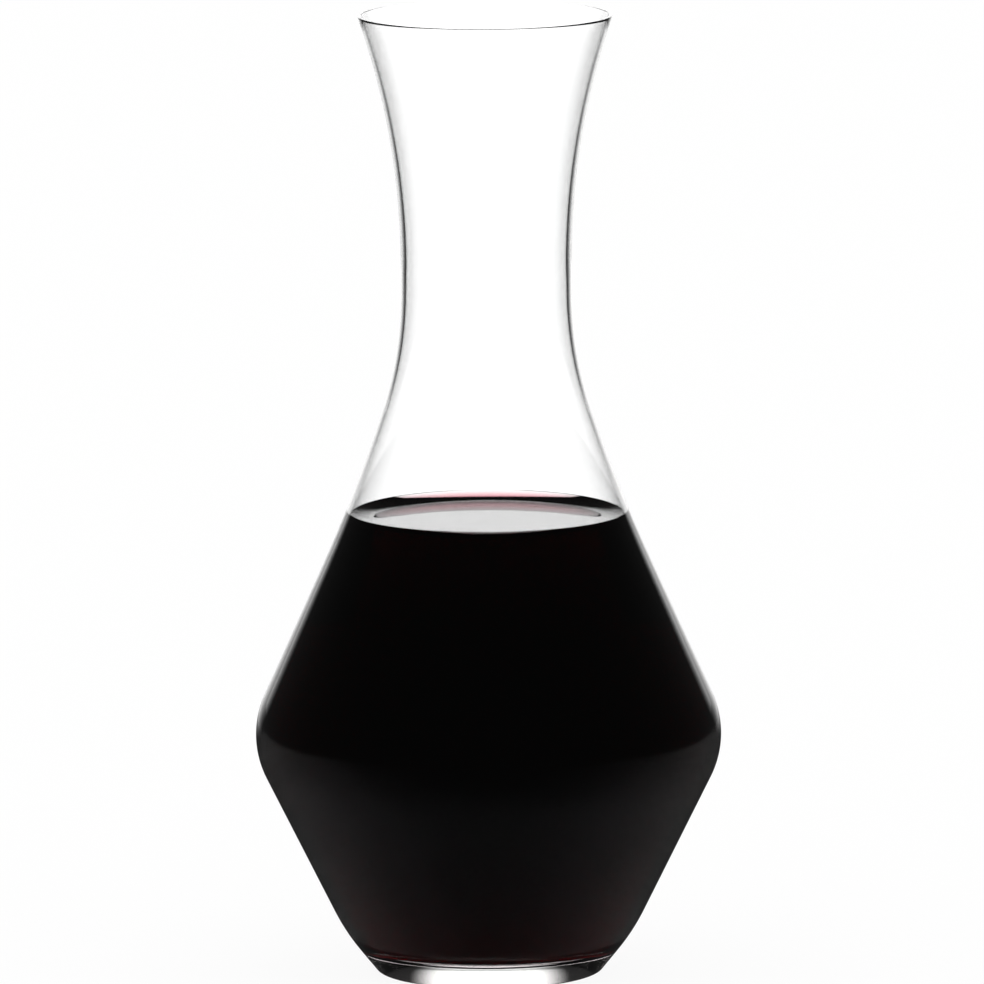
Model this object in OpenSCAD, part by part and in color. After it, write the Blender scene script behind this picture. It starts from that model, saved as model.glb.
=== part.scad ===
// Wine decanter: a one-piece vessel of clear blown glass, holding one bottle of red wine.
//
// Both parts are solids of revolution about the Z axis. The foot stands on z = 0, and all
// sizes are in millimetres. The outside is a string of straight flanks that meet at named
// corners, each corner rounded by its own radius. The inside follows it one wall thickness
// in, from the lip down to the heel, and closes over a heavy base with a shallow punt.

/* [Foot] */
// Outside diameter of the foot at the table
foot_d = 56.5; // [52:0.5:62]
// Rounding of the foot's outer edge
foot_edge_r = 1.5; // [0.5:0.1:3]
// Diameter of the punt, the hollow pushed up under the base
punt_d = 48; // [30:0.5:50]
// Height of the punt at its middle
punt_h = 2.2; // [0.5:0.1:4]
// Rounding of the punt's crown
punt_crown_r = 125; // [20:5:130]
// Rounding of the punt's rim
punt_rim_r = 1; // [0.2:0.1:2]

/* [Body] */
// Diameter of the heel, where the foot's slope turns into the lower flank
heel_d = 73; // [68:0.5:78]
// Height of the heel
heel_z = 10.2; // [8:0.1:13]
// Rounding of the heel
heel_r = 54; // [20:1:60]
// Diameter at which the lower and upper flanks would meet if the belly were sharp
belly_d = 122; // [112:0.5:130]
// Height of the belly
belly_z = 59.7; // [52:0.1:68]
// Rounding of the belly
belly_r = 23.3; // [10:0.1:30]
// Diameter of the shoulder, where the upper flank starts to sweep into the neck
shoulder_d = 65.4; // [60:0.2:72]
// Height of the shoulder
shoulder_z = 122.6; // [118:0.1:128]
// Rounding of the shoulder's sweep
shoulder_r = 380; // [100:5:450]

/* [Neck and mouth] */
// Outside diameter of the neck at its narrowest
neck_d = 42.9; // [38:0.1:48]
// Height at which the shoulder's sweep would reach the straight neck
neck_low_z = 157; // [150:0.5:162]
// Rounding of the sweep at the foot of the neck
neck_low_r = 97; // [40:1:105]
// Height at which the straight neck would start to flare
neck_high_z = 210; // [204:0.5:215]
// Rounding of the flare
neck_high_r = 186; // [60:1:190]
// Outside diameter of the mouth at the rim
mouth_d = 63.9; // [58:0.1:70]
// Height of the whole vessel, from the table to the rim
height = 242; // [236:0.5:255]

/* [Glass] */
// Wall at the lip
lip_wall = 0.9; // [0.7:0.05:2]
// Wall where the neck starts to flare
neck_high_wall = 1; // [0.8:0.05:2.5]
// Wall at the neck's waist, where it is thickest
waist_wall = 1.45; // [0.8:0.05:2.5]
// Height of the waist
waist_z = 179; // [170:0.5:190]
// Rounding of the waist's inside
waist_r = 100; // [20:5:200]
// Wall at the foot of the neck
neck_low_wall = 1.1; // [0.8:0.05:2.5]
// Wall at the shoulder
shoulder_wall = 1; // [0.8:0.05:2.5]
// Wall at the belly
belly_wall = 1.2; // [0.8:0.05:2.5]
// Wall at the heel, above the base
heel_wall = 2; // [1.2:0.1:3]
// Height of the inside floor above the table, at its edge
floor_z = 6.6; // [5.5:0.1:8.5]
// Rounding where the inside wall runs into the floor
floor_edge_r = 7; // [3:0.5:9]
// Rise of the inside floor from its edge to its middle
floor_rise = 1; // [0.2:0.1:2]
// Rounding of the floor's crown
floor_crown_r = 250; // [50:10:300]

/* [Wine] */
// Amount of wine in the vessel, in millilitres
wine_ml = 750; // [300:10:850]
// Rise of the wine's edge, where it clings to the glass
meniscus_h = 1.9; // [0.5:0.1:2.5]
// Distance from the glass over which that rise dies away
meniscus_reach = 1.7; // [1:0.1:2.5]

/* [Hidden] */

glass_tint = [0.86, 0.90, 0.90, 0.35];
wine_red = [0.30, 0.02, 0.06];

// Share of the lip's wall that each of its two edges is rounded by
lip_rounding = 0.45;
// How far a chord may stand off the arc that it replaces
arc_tolerance = 0.01;
meniscus_steps = 10;
// Number of reaches after which the wine's surface counts as flat
meniscus_span = 4;
level_halvings = 30;
mm3_per_ml = 1000;
turned_fn = 180;

// ---- Outlines in the plane [radius, height] ----

// Direction from a to b, as a unit vector
function heading(a, b) = (b - a) / norm(b - a);

// A vector turned a quarter to the left
function left_of(v) = [-v.y, v.x];

// Turn at b on the way from a to c, in degrees, positive to the left
function turn(a, b, c) =
    let (u = heading(a, b), v = heading(b, c))
    atan2(u.x * v.y - u.y * v.x, u * v);

// Length that a rounding takes from each side of its corner
function reach(bend, radius) = radius * tan(abs(bend) / 2);

// A corner is [radius, height, rounding]. Its place in the plane
function place(corner) = [corner.x, corner.y];

// Turn of a list of corners at corner i
function bend_at(corners, i) = turn(place(corners[i - 1]), place(corners[i]), place(corners[i + 1]));

// Reach of the rounding at corner i. The two ends of a list stay sharp
function reach_at(corners, i) =
    i == 0 || i == len(corners) - 1 ? 0 : reach(bend_at(corners, i), corners[i].z);

// Share of the roundings' reach that the straight from corner i to the next has room for
function room(corners, i) =
    let (
        wanted = reach_at(corners, i) + reach_at(corners, i + 1),
        straight = norm(place(corners[i + 1]) - place(corners[i]))
    )
    wanted > straight ? straight / wanted : 1;

// Points of the arc that rounds corner i
function rounded_corner(corners, i) =
    let (
        bend = bend_at(corners, i),
        radius = corners[i].z * min(room(corners, i - 1), room(corners, i)),
        along = heading(place(corners[i - 1]), place(corners[i])),
        start = place(corners[i]) - along * reach(bend, radius),
        centre = start + left_of(along) * sign(bend) * radius,
        first = atan2(start.y - centre.y, start.x - centre.x),
        chord_turn = 2 * acos(1 - min(0.5, arc_tolerance / radius)),
        steps = ceil(abs(bend) / chord_turn)
    )
    [for (k = [0:steps]) let (a = first + bend * k / steps) centre + radius * [cos(a), sin(a)]];

// Points of an outline through a list of corners
function outline(corners) = [
    place(corners[0]),
    for (i = [1:len(corners) - 2]) each rounded_corner(corners, i),
    place(corners[len(corners) - 1])
];

// Corner i moved one wall to the left of the outline that runs through it. A rounding that
// turns left shrinks by the wall, and one that turns right grows by it.
function inner_corner(corners, i, wall) =
    let (
        bend = bend_at(corners, i),
        before = heading(place(corners[i - 1]), place(corners[i])),
        after = heading(place(corners[i]), place(corners[i + 1])),
        left = left_of(before + after) / norm(before + after),
        moved = place(corners[i]) + left * wall / cos(bend / 2)
    )
    [moved.x, moved.y, corners[i].z - sign(bend) * wall];

// Radius at height z of an outline that falls from the mouth to the floor
function radius_at(points, z) =
    let (
        i = max([for (k = [0:len(points) - 1]) if (points[k].y >= z) k]),
        upper = points[i],
        lower = points[i + 1]
    )
    lower.x + (upper.x - lower.x) * (z - lower.y) / (upper.y - lower.y);

// The part of such an outline below height z, with a first point on the cut
function below(points, z) = [[radius_at(points, z), z], for (p = points) if (p.y < z) p];

function sum(values) = values * [for (v = values) 1];

// Volume inside such an outline, as a stack of cone slices
function volume_inside(points) = sum([
    for (i = [0:len(points) - 2])
        let (r = points[i].x, s = points[i + 1].x)
        PI / 3 * (points[i].y - points[i + 1].y) * (r * r + r * s + s * s)
]);

// ---- The vessel ----

underside_corners = [
    [0, punt_h, 0],
    [punt_d / 4, punt_h, punt_crown_r],
    [punt_d / 2, 0, punt_rim_r]
];

outside_corners = [
    [foot_d / 2, 0, foot_edge_r],
    [heel_d / 2, heel_z, heel_r],
    [belly_d / 2, belly_z, belly_r],
    [shoulder_d / 2, shoulder_z, shoulder_r],
    [neck_d / 2, neck_low_z, neck_low_r],
    [neck_d / 2, neck_high_z, neck_high_r],
    [mouth_d / 2, height, lip_wall * lip_rounding]
];

heel_inside = inner_corner(outside_corners, 1, heel_wall);
belly_inside = inner_corner(outside_corners, 2, belly_wall);
// Radius at which the inside of the lower flank, carried on down, meets the floor
floor_edge_x = heel_inside.x + (belly_inside.x - heel_inside.x)
    * (floor_z - heel_inside.y) / (belly_inside.y - heel_inside.y);

inside_corners = [
    [mouth_d / 2 - lip_wall, height, lip_wall * lip_rounding],
    inner_corner(outside_corners, 5, neck_high_wall),
    [neck_d / 2 - waist_wall, waist_z, waist_r],
    inner_corner(outside_corners, 4, neck_low_wall),
    inner_corner(outside_corners, 3, shoulder_wall),
    belly_inside,
    [floor_edge_x, floor_z, floor_edge_r],
    [floor_edge_x / 2, floor_z + floor_rise, floor_crown_r],
    [0, floor_z + floor_rise, 0]
];

// ---- The wine ----

inside = outline(inside_corners);

// Level below which the inside holds a volume, by halving the span that it lies in
function level_for(volume, low, high, halvings) =
    let (middle = (low + high) / 2)
    halvings == 0 ? middle
    : volume_inside(below(inside, middle)) > volume ? level_for(volume, low, middle, halvings - 1)
    : level_for(volume, middle, high, halvings - 1);

wine_z = level_for(wine_ml * mm3_per_ml, floor_z + floor_rise, neck_high_z, level_halvings);
contact_z = wine_z + meniscus_h;
contact_r = radius_at(inside, contact_z);

// Height above the level that the wine's surface has at a distance from the glass
function cling(distance) =
    let (rest = exp(-meniscus_span))
    meniscus_h * (exp(-distance / meniscus_reach) - rest) / (1 - rest);

// The surface from the axis outwards, with its points closer together near the glass
wine_surface = [
    [0, wine_z],
    for (k = [meniscus_steps:-1:1])
        let (distance = meniscus_span * meniscus_reach * pow(k / meniscus_steps, 1.5))
        [contact_r - distance, wine_z + cling(distance)]
];

module glass_vessel() {
    color(glass_tint)
        rotate_extrude($fn = turned_fn)
            polygon(outline(concat(underside_corners, outside_corners, inside_corners)));
}

module wine() {
    color(wine_red)
        rotate_extrude($fn = turned_fn)
            polygon(concat(wine_surface, below(inside, contact_z)));
}

glass_vessel();
wine();
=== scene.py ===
"""Looks of a wine decanter of clear blown glass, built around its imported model.

The vessel and the wine in it are drawn as outlines beside the axis, edge by edge, and spun
into solids of revolution. Lengths are in metres, and z = 0 is the floor.
"""

import math

import bpy
from bpy.props import FloatProperty, FloatVectorProperty, IntProperty, PointerProperty
from mathutils import Matrix, Vector
from mathutils.geometry import intersect_line_sphere


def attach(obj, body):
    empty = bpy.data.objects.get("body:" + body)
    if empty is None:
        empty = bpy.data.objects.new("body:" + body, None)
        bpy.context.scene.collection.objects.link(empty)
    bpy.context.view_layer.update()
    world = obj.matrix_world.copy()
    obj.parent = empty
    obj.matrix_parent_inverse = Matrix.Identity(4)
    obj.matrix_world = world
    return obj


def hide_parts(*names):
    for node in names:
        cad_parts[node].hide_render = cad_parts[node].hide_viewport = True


bl_info = {
    "name": "Wine decanter",
    "version": (1, 0, 0),
    "blender": (4, 5, 0),
    "location": "View3D > Sidebar > Decanter",
    "description": "Blows a glass decanter, pours wine into it and sets it on a studio floor",
    "category": "Add Mesh",
}

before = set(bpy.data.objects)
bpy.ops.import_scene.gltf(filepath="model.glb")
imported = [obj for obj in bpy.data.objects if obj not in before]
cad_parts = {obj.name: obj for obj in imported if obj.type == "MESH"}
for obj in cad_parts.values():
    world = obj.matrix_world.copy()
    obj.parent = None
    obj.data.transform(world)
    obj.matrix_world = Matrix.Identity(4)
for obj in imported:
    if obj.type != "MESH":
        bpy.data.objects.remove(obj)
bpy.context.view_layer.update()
MM = 0.001
WHITE = (1, 1, 1, 1)


# ---- Sizes and colours ----

def length(name, description, millimetres):
    """A length that is set in metres and whose default is given in millimetres."""
    return FloatProperty(name=name, description=description, default=millimetres * MM,
                         min=0.0, precision=5, unit="LENGTH")


class VesselSizes(bpy.types.PropertyGroup):
    """The glass: its outline from the punt to the rim, and its wall at each corner."""

    foot_d: length("Foot diameter", "Outside diameter of the foot at the table", 56.5)
    foot_edge_r: length("Foot edge", "Rounding of the foot's outer edge", 1.5)
    punt_d: length("Punt diameter", "Diameter of the hollow under the base", 48)
    punt_h: length("Punt height", "Height of the hollow at its middle", 2.2)
    punt_crown_r: length("Punt crown", "Rounding of the punt's crown", 125)
    punt_rim_r: length("Punt rim", "Rounding of the punt's rim", 1)
    heel_d: length("Heel diameter", "Diameter where the foot turns into the lower flank", 73)
    heel_z: length("Heel height", "Height of the heel", 10.2)
    heel_r: length("Heel rounding", "Rounding of the heel", 54)
    belly_d: length("Belly diameter", "Diameter where the two flanks would meet", 122)
    belly_z: length("Belly height", "Height of the belly", 59.7)
    belly_r: length("Belly rounding", "Rounding of the belly", 23.3)
    shoulder_d: length("Shoulder diameter", "Diameter where the sweep to the neck starts", 65.4)
    shoulder_z: length("Shoulder height", "Height of the shoulder", 122.6)
    shoulder_r: length("Shoulder rounding", "Rounding of the shoulder's sweep", 380)
    neck_d: length("Neck diameter", "Outside diameter of the neck", 42.9)
    neck_low_z: length("Neck start", "Height where the sweep would reach the neck", 157)
    neck_low_r: length("Neck start rounding", "Rounding of the sweep at the neck", 97)
    neck_high_z: length("Flare start", "Height where the neck would start to flare", 210)
    neck_high_r: length("Flare rounding", "Rounding of the flare", 186)
    mouth_d: length("Mouth diameter", "Outside diameter of the mouth at the rim", 63.9)
    height: length("Height", "Height from the floor to the rim", 242)
    lip_wall: length("Lip wall", "Wall at the lip", 0.9)
    lip_r: length("Lip rounding", "Rounding of the lip's two edges", 0.405)
    neck_high_wall: length("Flare wall", "Wall where the neck starts to flare", 1)
    waist_wall: length("Waist wall", "Wall at the neck's waist", 1.45)
    waist_z: length("Waist height", "Height of the waist", 179)
    waist_r: length("Waist rounding", "Rounding of the waist's inside", 100)
    neck_low_wall: length("Neck wall", "Wall at the foot of the neck", 1.1)
    shoulder_wall: length("Shoulder wall", "Wall at the shoulder", 1)
    belly_wall: length("Belly wall", "Wall at the belly", 1.2)
    heel_wall: length("Heel wall", "Wall at the heel", 2)
    floor_z: length("Floor height", "Height of the inside floor at its edge", 6.6)
    floor_edge_r: length("Floor edge", "Rounding where the wall runs into the floor", 7)
    floor_rise: length("Floor rise", "Rise of the inside floor to its middle", 1)
    floor_crown_r: length("Floor crown", "Rounding of the floor's crown", 250)
    segments: IntProperty(name="Segments", description="Segments round the axis",
                          default=256, min=32, max=360)


class WineSizes(bpy.types.PropertyGroup):
    """The wine: its level, and the way its edge clings to the glass."""

    level: length("Level", "Height of the flat of the wine", 114.05)
    meniscus_h: length("Meniscus height", "Rise of the wine's edge at the glass", 2.6)
    capillary: length("Capillary length", "Height and reach that gravity lets the edge have", 2.25)
    bite: length("Bite", "Depth by which the wine's skin lies inside the glass", 0.1)


class Finishes(bpy.types.PropertyGroup):
    """Colours and optical properties of the glass and the wine."""

    glass_ior: FloatProperty(name="Glass IOR", description="Refractive index of the glass",
                             default=1.51, min=1.0, max=2.5)
    glass_tint: FloatVectorProperty(name="Glass tint", description="Colour left by a thick glass",
                                    subtype="COLOR", default=(0.86, 0.93, 0.90), min=0, max=1)
    glass_density: FloatProperty(name="Glass density", description="Absorption per metre",
                                 default=10.0, min=0)
    wine_ior: FloatProperty(name="Wine IOR", description="Refractive index of the wine",
                            default=1.343, min=1.0, max=2.5)
    wine_tint: FloatVectorProperty(name="Wine tint", description="Colour left by a film of wine",
                                   subtype="COLOR", default=(0.78, 0.075, 0.175), min=0, max=1)
    wine_density: FloatProperty(name="Wine density", description="Absorption per metre",
                                default=400.0, min=0)


class StageLevels(bpy.types.PropertyGroup):
    """Light of the studio, where 1 is white."""

    ambient: FloatProperty(name="Ambient", description="Light on the floor", default=1.0, min=0)
    through: FloatProperty(name="Through glass", description="Studio as glass shows it",
                           default=1.35, min=0)
    backdrop: FloatProperty(name="Backdrop", description="Lit backdrop that glass mirrors",
                            default=2.1, min=0)
    far_floor: FloatProperty(name="Far floor", description="Floor at the foot of the backdrop",
                             default=1.1, min=0)
    dark: FloatProperty(name="Dark side", description="The unlit studio that glass mirrors",
                        default=0.03, min=0)
    floor_colour: FloatVectorProperty(name="Floor", description="Colour of the floor",
                                      subtype="COLOR", default=(0.96, 0.96, 0.96), min=0, max=1)


# ---- Drawing an outline ----

ARC_TOLERANCE = 0.004 * MM
LARGEST_ARC_STEP = math.radians(6)
LONGEST_STRAIGHT = 5 * MM
MERGE_DISTANCE = 0.0005 * MM
SHARP_EDGE = math.radians(35)
X, Y, Z = Vector((1, 0, 0)), Vector((0, 1, 0)), Vector((0, 0, 1))


class Corner:
    """A corner of an outline: its distance from the axis, its height and its rounding."""

    def __init__(self, r, z, rounding=0.0):
        self.place = Vector((r, 0, z))
        self.rounding = rounding


def bend_at(before, corner, after):
    """The turn at a corner, in radians, positive to the left seen with Z up and X right."""
    u, v = corner.place - before.place, after.place - corner.place
    return math.atan2(u.x * v.z - u.z * v.x, u.x * v.x + u.z * v.z)


def inner_corner(before, corner, after, wall):
    """A corner moved one wall to the left of the outline that runs through it."""
    bend = bend_at(before, corner, after)
    along = (corner.place - before.place).normalized() + (after.place - corner.place).normalized()
    left = Vector((-along.z, 0, along.x)).normalized()
    moved = corner.place + left * wall / math.cos(bend / 2)
    return Corner(moved.x, moved.z, corner.rounding - math.copysign(wall, bend))


def start_outline(name, place):
    """A new mesh with one vertex, from a plane that is merged into its middle."""
    bpy.ops.object.select_all(action="DESELECT")
    bpy.ops.mesh.primitive_plane_add(size=MM, location=place)
    piece = bpy.context.object
    piece.name = piece.data.name = name
    bpy.ops.object.transform_apply()
    bpy.ops.object.mode_set(mode="EDIT")
    bpy.ops.mesh.select_all(action="SELECT")
    bpy.ops.mesh.merge(type="CENTER")
    return piece


def draw_straight(start, end):
    """Extrudes the selected vertex from start to end, in even steps."""
    steps = max(1, math.ceil((end - start).length / LONGEST_STRAIGHT))
    for _ in range(steps):
        bpy.ops.mesh.extrude_region_move(TRANSFORM_OT_translate={"value": (end - start) / steps})


def draw_arc(centre, radius, bend):
    """Spins the selected vertex round centre, in the plane of the outline."""
    step = min(LARGEST_ARC_STEP, 2 * math.acos(1 - min(0.5, ARC_TOLERANCE / radius)))
    bpy.ops.mesh.spin(steps=math.ceil(abs(bend) / step), angle=bend, center=centre, axis=Y)


def rounding_at(before, corner, after):
    """Where a corner's rounding starts, its centre, where it ends, and its turn."""
    bend = bend_at(before, corner, after)
    along = (corner.place - before.place).normalized()
    onward = (after.place - corner.place).normalized()
    reach = corner.rounding * math.tan(abs(bend) / 2)
    start = corner.place - along * reach
    left = Vector((-along.z, 0, along.x))
    centre = start + left * math.copysign(corner.rounding, bend)
    return start, centre, corner.place + onward * reach, bend


def draw_outline(corners):
    """Draws on from the first corner to the last, with the corners between them rounded."""
    pen = corners[0].place
    for before, corner, after in zip(corners, corners[1:], corners[2:]):
        start, centre, end, bend = rounding_at(before, corner, after)
        if (start - pen).dot(corner.place - before.place) < 0:
            raise ValueError(f"there is no room for the rounding at {corner.place}")
        draw_straight(pen, start)
        draw_arc(centre, corner.rounding, bend)
        pen = end
    draw_straight(pen, corners[-1].place)


def spin_outline(piece, segments):
    """Spins the whole outline round the axis, closes its seam and poles, and smooths it."""
    bpy.ops.mesh.select_all(action="SELECT")
    bpy.ops.mesh.spin(steps=segments, angle=math.tau, center=(0, 0, 0), axis=Z)
    bpy.ops.mesh.select_all(action="SELECT")
    bpy.ops.mesh.remove_doubles(threshold=MERGE_DISTANCE)
    bpy.ops.mesh.normals_make_consistent(inside=False)
    bpy.ops.object.mode_set(mode="OBJECT")
    bpy.ops.object.shade_smooth_by_angle(angle=SHARP_EDGE)
    return piece


# ---- The forms ----

def outside_corners(s):
    """The outside from the foot to the rim."""
    return [
        Corner(s.foot_d / 2, 0, s.foot_edge_r),
        Corner(s.heel_d / 2, s.heel_z, s.heel_r),
        Corner(s.belly_d / 2, s.belly_z, s.belly_r),
        Corner(s.shoulder_d / 2, s.shoulder_z, s.shoulder_r),
        Corner(s.neck_d / 2, s.neck_low_z, s.neck_low_r),
        Corner(s.neck_d / 2, s.neck_high_z, s.neck_high_r),
        Corner(s.mouth_d / 2, s.height, s.lip_r),
    ]


def inside_corners(s, bite=0.0):
    """The inside from the lip to the floor's middle, moved into the glass by bite."""
    out = outside_corners(s)
    walls = [s.heel_wall, s.belly_wall, s.shoulder_wall, s.neck_low_wall, s.neck_high_wall]
    heel, belly, shoulder, neck_low, neck_high = (
        inner_corner(out[i], out[i + 1], out[i + 2], wall - bite) for i, wall in enumerate(walls)
    )
    floor_z = s.floor_z - bite
    share = (floor_z - heel.place.z) / (belly.place.z - heel.place.z)
    floor_edge = heel.place.lerp(belly.place, share)
    return [
        Corner(s.mouth_d / 2 - s.lip_wall, s.height, s.lip_r),
        neck_high,
        Corner(s.neck_d / 2 - s.waist_wall + bite, s.waist_z, s.waist_r),
        neck_low,
        shoulder,
        belly,
        Corner(floor_edge.x, floor_z, s.floor_edge_r),
        Corner(floor_edge.x / 2, floor_z + s.floor_rise, s.floor_crown_r),
        Corner(0, floor_z + s.floor_rise),
    ]


def underside_corners(s):
    """The hollow under the base, from its middle to its rim."""
    return [
        Corner(0, s.punt_h),
        Corner(s.punt_d / 4, s.punt_h, s.punt_crown_r),
        Corner(s.punt_d / 2, 0, s.punt_rim_r),
    ]


def blow_vessel(s):
    """The vessel's glass as one closed solid."""
    corners = underside_corners(s) + outside_corners(s) + inside_corners(s)
    piece = start_outline("vessel_glass", corners[0].place)
    draw_outline(corners)
    return spin_outline(piece, s.segments)


# Place of the shoulder among the inside corners
SHOULDER = 4
MENISCUS_STEPS = 16
FLAT_ENOUGH = math.radians(0.5)


def meniscus_place(slope, capillary):
    """Distance gained and height reached where the wine's edge has climbed to a slope."""
    distance = math.log(math.tan(slope / 4)) + 2 * math.cos(slope / 2)
    return capillary * distance, 2 * capillary * math.sin(slope / 2)


def crossing(start, end, centre, radius):
    """Where a line from start to end first meets a circle."""
    return min((p for p in intersect_line_sphere(start, end, centre, radius, False) if p),
               key=lambda p: (p - start).length)


def wine_surface(sizes, contact):
    """Points of the wine's surface from near the axis to where it meets the glass."""
    steepest = 2 * math.asin(sizes.meniscus_h / (2 * sizes.capillary))
    wall_distance = meniscus_place(steepest, sizes.capillary)[0]
    points = []
    for k in range(MENISCUS_STEPS + 1):
        slope = FLAT_ENOUGH * (steepest / FLAT_ENOUGH) ** (k / MENISCUS_STEPS)
        distance, rise = meniscus_place(slope, sizes.capillary)
        points.append(Vector((contact.x - wall_distance + distance, 0, sizes.level + rise)))
    return points


def pour_wine(s, sizes):
    """The wine as one closed solid, whose skin lies a little way inside the glass."""
    centre = Vector((0, 0, sizes.level))
    contact_height = Vector((0, 0, sizes.level + sizes.meniscus_h))
    dry, skin = inside_corners(s), inside_corners(s, sizes.bite)
    sweep = slice(SHOULDER - 1, SHOULDER + 2)
    _, sweep_centre, _, _ = rounding_at(*dry[sweep])
    contact = crossing(contact_height, contact_height + X, sweep_centre, dry[SHOULDER].rounding)
    surface = wine_surface(sizes, contact)
    _, skin_centre, skin_end, _ = rounding_at(*skin[sweep])
    rim = crossing(contact, 2 * contact - surface[-2], skin_centre, skin[SHOULDER].rounding)
    piece = start_outline("wine_body", centre)
    for start, end in zip([centre] + surface, surface + [rim]):
        draw_straight(start, end)
    turn = (rim - skin_centre).angle(skin_end - skin_centre)
    draw_arc(skin_centre, skin[SHOULDER].rounding, turn)
    draw_outline([Corner(skin_end.x, skin_end.z)] + skin[SHOULDER + 1:])
    return spin_outline(piece, s.segments)


# ---- Shader maths ----

class Wire:
    """A socket with arithmetic: an expression on wires adds the Math nodes that work it out."""

    def __init__(self, tree, socket):
        self.tree, self.socket = tree, socket

    def _math(self, operation, *values):
        return add_node(self.tree, "ShaderNodeMath", {"operation": operation},
                        dict(enumerate(values)))

    def __add__(self, other):
        return self._math("ADD", self, other)

    def __mul__(self, other):
        return self._math("MULTIPLY", self, other)

    def __sub__(self, other):
        return self._math("SUBTRACT", self, other)

    def __rsub__(self, other):
        return self._math("SUBTRACT", other, self)

    def __truediv__(self, other):
        return self._math("DIVIDE", self, other)

    def __gt__(self, other):
        return self._math("GREATER_THAN", self, other)

    def __lt__(self, other):
        return self._math("LESS_THAN", self, other)

    __radd__, __rmul__ = __add__, __mul__

    def absolute(self):
        return self._math("ABSOLUTE", self)

    def ramp(self, start, end, low=0.0, high=1.0):
        """Eased from low where the value is at start to high where it is at end."""
        return add_node(self.tree, "ShaderNodeMapRange", {"interpolation_type": "SMOOTHSTEP"},
                        {"Value": self, "From Min": start, "From Max": end,
                         "To Min": low, "To Max": high})


def add_node(tree, kind, settings=None, inputs=None, output=0):
    """Adds a node with its settings made first, feeds its inputs, and returns an output."""
    node = tree.nodes.new(kind)
    for name, value in (settings or {}).items():
        setattr(node, name, value)
    for key, value in (inputs or {}).items():
        if isinstance(value, Wire):
            tree.links.new(value.socket, node.inputs[key])
        else:
            node.inputs[key].default_value = value
    return Wire(tree, node.outputs[output])


def new_material(name):
    """A material with an empty node tree and its output node."""
    material = bpy.data.materials.new(name)
    material.use_nodes = True
    material.node_tree.nodes.clear()
    return material, material.node_tree.nodes.new("ShaderNodeOutputMaterial")


def clear_body(name, ior, tint, density, wetted):
    """A clear body that takes up light along its depth, and mirrors nothing where it is wetted."""
    material, output = new_material(name)
    tree = material.node_tree
    dry, wet = (
        add_node(tree, "ShaderNodeBsdfPrincipled", None,
                 {"Base Color": WHITE, "Roughness": 0.0, "IOR": ior,
                  "Transmission Weight": 1.0, "Specular Tint": (gloss, gloss, gloss, 1)})
        for gloss in (1.0, 0.0)
    )
    surface = add_node(tree, "ShaderNodeMixShader", None, {0: wetted(tree), 1: dry, 2: wet})
    volume = add_node(tree, "ShaderNodeVolumeAbsorption", None,
                      {"Color": (*tint, 1), "Density": density})
    tree.links.new(surface.socket, output.inputs["Surface"])
    tree.links.new(volume.socket, output.inputs["Volume"])
    return material


def split(tree, vector):
    """The three components of a vector."""
    parts = tree.nodes.new("ShaderNodeSeparateXYZ")
    tree.links.new(vector.socket, parts.inputs[0])
    return [Wire(tree, parts.outputs[axis]) for axis in "XYZ"]


def facing(tree):
    """Height on the piece, and how far its outward face looks away from the axis and up."""
    coordinates = tree.nodes.new("ShaderNodeTexCoord")
    x, y, z = split(tree, Wire(tree, coordinates.outputs["Object"]))
    side = 1 - 2 * add_node(tree, "ShaderNodeNewGeometry", None, None, "Backfacing")
    nx, ny, nz = split(tree, Wire(tree, coordinates.outputs["Normal"]))
    return z, (nx * x + ny * y) * side, nz * side


# Height above which a face that looks at the axis is on the inside, and not in the punt
BASE_TOP = 4 * MM
# How far up a face looks, from 0 for sideways to 1 for straight up
FLOOR_LOOKS_UP = 0.9
SKIN_LOOKS_UP = 0.6


def inside_below(tree, level):
    """1 on the inside of the vessel below a level, and 0 elsewhere on the glass."""
    z, outwards, up = facing(tree)
    return ((outwards < 0) + (up > FLOOR_LOOKS_UP) > 0.5) * (z > BASE_TOP) * (z < level)


def skin(tree):
    """1 on the wine's skin against the glass, and 0 on its open surface."""
    return facing(tree)[2] < SKIN_LOOKS_UP


# ---- The studio ----

CLEAR_OF_FLOOR = 0.1 * MM
FLOOR_SIZE = 40.0
# Share of the floor that glows. The rest takes the shadow
GLOW_SHARE = 0.92
# Distances between which the floor passes from near to far
NEAR, FAR = 0.35, 0.6
# Directions between which the lit backdrop dies away, sideways and upwards
BACKDROP_CORE, BACKDROP_EDGE = math.sin(math.radians(12)), math.sin(math.radians(33))
BACKDROP_TOP, DARK_ABOVE = math.sin(math.radians(20)), math.sin(math.radians(32))


def rays(tree):
    """Wires for the kinds of ray: seen, sent straight through glass, and turned back by it.

    The fourth says whether a ray comes out of glass last, and not off its surface.
    """
    path = tree.nodes.new("ShaderNodeLightPath")
    seen, sent, mirrored, depth = (Wire(tree, path.outputs[name]) for name in (
        "Is Camera Ray", "Is Transmission Ray", "Is Glossy Ray", "Glossy Depth"))
    bounced = (depth > 0.5) * (sent + mirrored > 0.5)
    return seen, sent * (1 - bounced), bounced, sent


def behind(tree, vector):
    """1 in the sector behind the object that the lit backdrop fills, and 0 round it."""
    x, y, _ = split(tree, vector)
    flat = add_node(tree, "ShaderNodeMath", {"operation": "SQRT"}, {0: x * x + y * y})
    return (x / flat).absolute().ramp(BACKDROP_CORE, BACKDROP_EDGE, 1.0, 0.0) * (y > 0)


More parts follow.
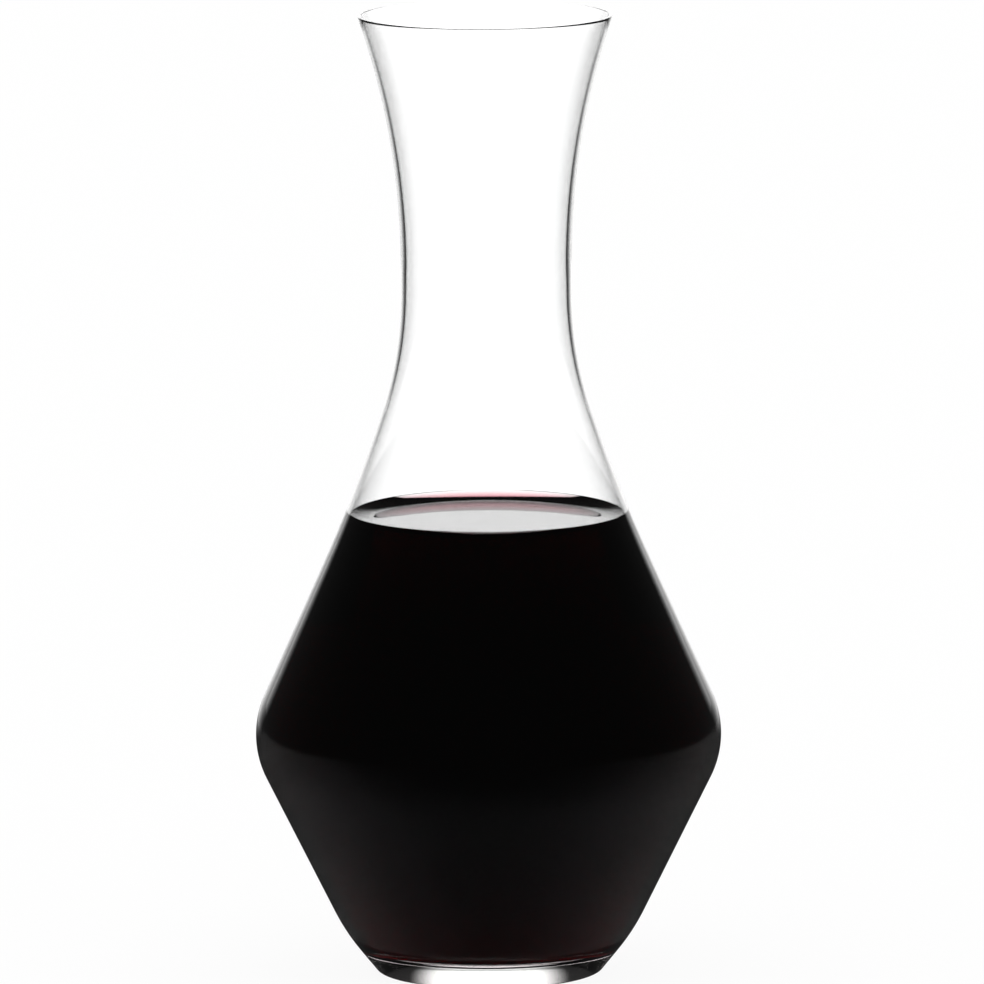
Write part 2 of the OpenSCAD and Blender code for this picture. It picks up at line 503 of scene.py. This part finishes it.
def light_world(levels):
    """A white studio, which glass shows as it is and mirrors as a lit backdrop in the dark."""
    world = bpy.data.worlds.new("studio")
    bpy.context.scene.world = world
    world.use_nodes = True
    tree = world.node_tree
    tree.nodes.clear()
    seen, through, bounced, _ = rays(tree)
    direction = add_node(tree, "ShaderNodeTexCoord", None, None, "Generated")
    height = split(tree, direction)[2]
    backdrop = behind(tree, direction) * height.ramp(BACKDROP_TOP, DARK_ABOVE, levels.backdrop, 0.0)
    strength = (seen + through * levels.through + bounced * (levels.dark + backdrop)
                + (1 - seen - through - bounced) * levels.ambient)
    light = add_node(tree, "ShaderNodeBackground", None,
                     {"Color": WHITE, "Strength": strength})
    output = tree.nodes.new("ShaderNodeOutputWorld")
    tree.links.new(light.socket, output.inputs["Surface"])


def floor_material(levels):
    """A pale floor: part of it takes light and shadow, and the rest glows as the backdrop does."""
    material, output = new_material("pale_floor")
    tree = material.node_tree
    seen, through, bounced, sent = rays(tree)
    place = add_node(tree, "ShaderNodeTexCoord", None, None, "Object")
    away = add_node(tree, "ShaderNodeVectorMath", {"operation": "LENGTH"}, {0: place}, "Value")
    near = away.ramp(NEAR, FAR, 1.0, 0.0)
    lit = near * sent * levels.through + (1 - near) * behind(tree, place) * levels.far_floor
    glow = seen + through * levels.through + bounced * (levels.dark + lit)
    matt = add_node(tree, "ShaderNodeBsdfDiffuse", None, {"Color": (*levels.floor_colour, 1)})
    light = add_node(tree, "ShaderNodeEmission", None, {"Color": WHITE, "Strength": glow})
    share = 1 - seen * (1 - GLOW_SHARE)
    mixed = add_node(tree, "ShaderNodeMixShader", None, {0: share, 1: matt, 2: light})
    tree.links.new(mixed.socket, output.inputs["Surface"])
    return material


CAMERA_DISTANCE = 3.0
CAMERA_HEIGHT = 0.5856
AIM_HEIGHT = 0.12154
CAMERA_SHIFT_X = 0.00117
CAMERA_ROLL = math.radians(-0.29)
LENS_MM = 442.6
CLIP_END = 100


def aim_camera():
    """A long lens, a little above the mouth, that looks down on the wine."""
    place = Vector((CAMERA_SHIFT_X, -CAMERA_DISTANCE, CAMERA_HEIGHT))
    aim = Vector((CAMERA_SHIFT_X, 0, AIM_HEIGHT))
    bpy.ops.object.camera_add(location=place)
    camera = bpy.context.object
    turn = (aim - place).to_track_quat("-Z", "Y").to_matrix() @ Matrix.Rotation(CAMERA_ROLL, 3, "Z")
    camera.rotation_euler = turn.to_euler()
    camera.data.lens = LENS_MM
    camera.data.clip_end = CLIP_END
    bpy.context.scene.camera = camera


# ---- Operators ----

class DECANTER_OT_blow_vessel(bpy.types.Operator):
    """Blow the vessel: draw its outline, spin it and give it clear glass"""

    bl_idname = "decanter.blow_vessel"
    bl_label = "Blow the vessel"

    def execute(self, context):
        finish = context.scene.decanter_finishes
        piece = blow_vessel(context.scene.decanter_vessel)
        wine = context.scene.decanter_wine
        piece.data.materials.append(clear_body(
            "clear_glass", finish.glass_ior, finish.glass_tint, finish.glass_density,
            lambda tree: inside_below(tree, wine.level + wine.meniscus_h)))
        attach(piece, "root")
        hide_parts("glass_vessel")
        return {"FINISHED"}


class DECANTER_OT_pour_wine(bpy.types.Operator):
    """Pour the wine: fill the vessel to its level, with the wine's edge drawn up the glass"""

    bl_idname = "decanter.pour_wine"
    bl_label = "Pour the wine"

    def execute(self, context):
        finish = context.scene.decanter_finishes
        piece = pour_wine(context.scene.decanter_vessel, context.scene.decanter_wine)
        piece.data.materials.append(clear_body(
            "red_wine", finish.wine_ior, finish.wine_tint, finish.wine_density, skin))
        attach(piece, "root")
        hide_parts("wine")
        return {"FINISHED"}


class DECANTER_OT_set_stage(bpy.types.Operator):
    """Set the stage: a pale floor, a soft white studio and the camera"""

    bl_idname = "decanter.set_stage"
    bl_label = "Set the stage"

    def execute(self, context):
        levels = context.scene.decanter_stage
        bpy.ops.object.select_all(action="DESELECT")
        bpy.ops.mesh.primitive_plane_add(size=FLOOR_SIZE, location=(0, 0, -CLEAR_OF_FLOOR))
        floor = context.object
        floor.name = "floor"
        floor.data.materials.append(floor_material(levels))
        light_world(levels)
        aim_camera()
        context.scene.view_settings.view_transform = "Standard"
        return {"FINISHED"}


class DECANTER_PT_panel(bpy.types.Panel):
    """The decanter's tools"""

    bl_label = "Decanter"
    bl_space_type = "VIEW_3D"
    bl_region_type = "UI"
    bl_category = "Decanter"

    def draw(self, context):
        for step in STEPS:
            self.layout.operator(step.bl_idname)


STEPS = (DECANTER_OT_blow_vessel, DECANTER_OT_pour_wine, DECANTER_OT_set_stage)
GROUPS = {
    "decanter_vessel": VesselSizes,
    "decanter_wine": WineSizes,
    "decanter_finishes": Finishes,
    "decanter_stage": StageLevels,
}


def register():
    for group in (*GROUPS.values(), *STEPS, DECANTER_PT_panel):
        bpy.utils.register_class(group)
    for name, group in GROUPS.items():
        setattr(bpy.types.Scene, name, PointerProperty(type=group))


def unregister():
    for name in GROUPS:
        delattr(bpy.types.Scene, name)
    for group in (DECANTER_PT_panel, *STEPS, *GROUPS.values()):
        bpy.utils.unregister_class(group)


def main():
    """Makes the pieces in order, as the panel's buttons do."""
    register()
    bpy.ops.decanter.blow_vessel()
    bpy.ops.decanter.pour_wine()
    bpy.ops.decanter.set_stage()


if __name__ == "__main__":
    main()
